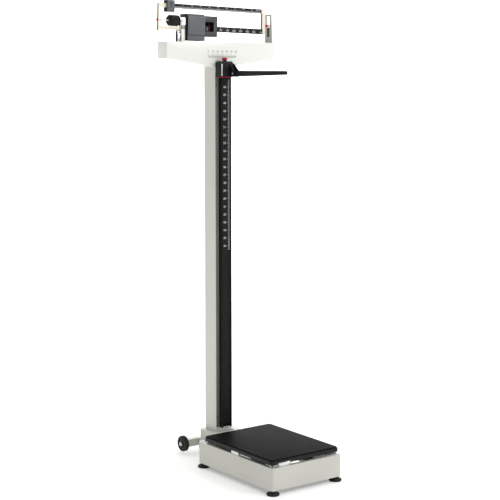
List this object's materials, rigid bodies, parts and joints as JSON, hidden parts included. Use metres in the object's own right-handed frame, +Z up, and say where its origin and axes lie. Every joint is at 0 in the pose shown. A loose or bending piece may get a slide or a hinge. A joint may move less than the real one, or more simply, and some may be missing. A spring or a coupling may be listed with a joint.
{
  "type": "physician beam scale",
  "caption": "Standing weighing scale: platform base with a lever train, column, two-poise balance beam, height rod with a folding arm, and tilt-back wheels.",
  "frame": {"origin": "on the floor under the middle of the whole object", "axes": "+X to the right and +Y to the back for someone facing the column from in front of the platform, +Z up"},
  "size_m": [0.4424, 0.576, 1.4803],
  "materials": {
    "white_enamel": "stoved white enamel, semi-gloss",
    "black_enamel": "black enamel, satin",
    "black_rubber": "moulded black rubber, matt",
    "grey_enamel": "grey hammered enamel on a casting",
    "chrome": "bright chrome plate",
    "bright_steel": "machined steel",
    "cast_lever": "rough casting, dark primer",
    "dark_anodised": "dark anodised extrusion with white graduations",
    "red_plastic": "moulded red plastic"
  },
  "bodies": {
    "root": {"base_shell": "white_enamel", "guide_stud_front_left": "chrome", "guide_stud_front_right": "chrome", "guide_stud_rear_left": "chrome", "guide_stud_rear_right": "chrome", "fulcrum_bar_front": "cast_lever", "fulcrum_bar_rear": "cast_lever", "column_pedestal": "white_enamel", "wheel_bracket": "white_enamel", "wheel_bar": "white_enamel", "axle_bolt_left": "chrome", "axle_bolt_right": "chrome", "column": "white_enamel", "rod_channel": "black_enamel", "height_index": "red_plastic", "head_housing": "white_enamel", "trig_loop": "white_enamel", "fulcrum_stand": "white_enamel", "transfer_stand": "bright_steel"},
    "platform": {"platform_pan": "black_enamel", "platform_mat": "black_rubber", "platform_post_front_left": "chrome", "platform_post_front_right": "chrome", "platform_post_rear_left": "chrome", "platform_post_rear_right": "chrome"},
    "long_lever": {"long_lever": "cast_lever", "long_lever_knife_left": "bright_steel", "long_lever_knife_right": "bright_steel", "lever_link": "bright_steel"},
    "short_lever": {"short_lever": "cast_lever", "short_lever_knife_left": "bright_steel", "short_lever_knife_right": "bright_steel"},
    "draft_rod": {"draft_rod": "bright_steel", "draft_nut_top": "chrome", "draft_nut_bottom": "chrome"},
    "transfer_lever": {"transfer_lever": "bright_steel"},
    "load_link": {"load_link": "chrome"},
    "beam": {"beam_frame": "black_enamel", "upper_scale_bar": "black_enamel", "lower_scale_bar": "black_enamel", "fulcrum_knife": "bright_steel", "load_pin": "bright_steel", "balance_screw": "bright_steel", "beam_pointer": "red_plastic"},
    "counterweight": {"counterweight": "black_enamel"},
    "small_poise": {"small_poise": "grey_enamel"},
    "large_poise": {"large_poise_body": "grey_enamel", "large_poise_window": "grey_enamel", "poise_pawl": "bright_steel"},
    "height_rod": {"height_rod": "dark_anodised", "rod_head": "black_enamel", "arm_pin": "bright_steel"},
    "rod_button": {"rod_button": "red_plastic"},
    "measuring_arm": {"measuring_arm": "black_enamel"},
    "wheel_left": {"wheel_left": "black_rubber"},
    "wheel_right": {"wheel_right": "black_rubber"},
    "foot_front_left": {"foot_front_left": "black_rubber"},
    "foot_front_right": {"foot_front_right": "black_rubber"},
    "foot_rear_left": {"foot_rear_left": "black_rubber"},
    "foot_rear_right": {"foot_rear_right": "black_rubber"}
  },
  "joints": [
    {"name": "foot_front_left_level", "type": "slide", "parent": "root", "child": "foot_front_left", "axis": [0, 0, -1], "range_m": [0, 0.008]},
    {"name": "foot_front_right_level", "type": "slide", "parent": "root", "child": "foot_front_right", "axis": [0, 0, -1], "range_m": [0, 0.008]},
    {"name": "foot_rear_left_level", "type": "slide", "parent": "root", "child": "foot_rear_left", "axis": [0, 0, -1], "range_m": [0, 0.008]},
    {"name": "foot_rear_right_level", "type": "slide", "parent": "root", "child": "foot_rear_right", "axis": [0, 0, -1], "range_m": [0, 0.008]},
    {"name": "beam_tilt", "type": "hinge", "parent": "root", "child": "beam", "pos_m": [-0.12975, 0.185, 1.3923], "axis": [0, -1, 0], "range_deg": [0, 4.5]},
    {"name": "load_link_drop", "type": "slide", "parent": "root", "child": "load_link", "axis": [0, 0, -1], "range_m": [0, 0.001]},
    {"name": "transfer_lever_tilt", "type": "hinge", "parent": "root", "child": "transfer_lever", "pos_m": [-0.17564, 0.185, 1.3217], "axis": [0, 1, 0], "range_deg": [0, 1.7]},
    {"name": "draft_rod_drop", "type": "slide", "parent": "root", "child": "draft_rod", "axis": [0, 0, -1], "range_m": [0, 0.0053]},
    {"name": "long_lever_tilt", "type": "hinge", "parent": "root", "child": "long_lever", "pos_m": [0.00936, -0.251, 0.0443], "axis": [-1, 0, 0], "range_deg": [0, 0.75]},
    {"name": "short_lever_tilt", "type": "hinge", "parent": "root", "child": "short_lever", "pos_m": [0.00936, 0.077, 0.0563], "axis": [1, 0, 0], "range_deg": [0, 0.75]},
    {"name": "platform_drop", "type": "slide", "parent": "root", "child": "platform", "axis": [0, 0, -1], "range_m": [0, 0.00015]},
    {"name": "counterweight_travel", "type": "slide", "parent": "beam", "child": "counterweight", "axis": [0.9997, 0, -0.0262], "range_m": [-0.018, 0.004]},
    {"name": "small_poise_slide", "type": "slide", "parent": "beam", "child": "small_poise", "axis": [0.9997, 0, -0.0262], "range_m": [0, 0.335]},
    {"name": "large_poise_slide", "type": "slide", "parent": "beam", "child": "large_poise", "axis": [0.9997, 0, -0.0262], "range_m": [0, 0.185]},
    {"name": "height_rod_slide", "type": "slide", "parent": "root", "child": "height_rod", "axis": [0, 0, 1], "range_m": [0, 0.56]},
    {"name": "rod_button_press", "type": "slide", "parent": "height_rod", "child": "rod_button", "axis": [0, 0, -1], "range_m": [0, 0.004], "stiffness_N_per_m": 300},
    {"name": "arm_fold", "type": "hinge", "parent": "height_rod", "child": "measuring_arm", "pos_m": [0.01936, 0.1042, 1.254], "axis": [1, 0, 0], "range_deg": [0, 90]},
    {"name": "wheel_left_spin", "type": "hinge", "parent": "root", "child": "wheel_left", "pos_m": [-0.07964, 0.262, 0.034], "axis": [1, 0, 0], "continuous": true},
    {"name": "wheel_right_spin", "type": "hinge", "parent": "root", "child": "wheel_right", "pos_m": [0.09836, 0.262, 0.034], "axis": [1, 0, 0], "continuous": true}
  ],
  "couplings": [
    {"joint": "load_link_drop", "follows": "beam_tilt", "m_per_rad": 0.01183},
    {"joint": "transfer_lever_tilt", "follows": "beam_tilt", "ratio": 0.3525},
    {"joint": "draft_rod_drop", "follows": "beam_tilt", "m_per_rad": 0.06521},
    {"joint": "long_lever_tilt", "follows": "beam_tilt", "ratio": 0.14957},
    {"joint": "short_lever_tilt", "follows": "beam_tilt", "ratio": 0.15326},
    {"joint": "platform_drop", "follows": "beam_tilt", "m_per_rad": 0.001645}
  ]
}
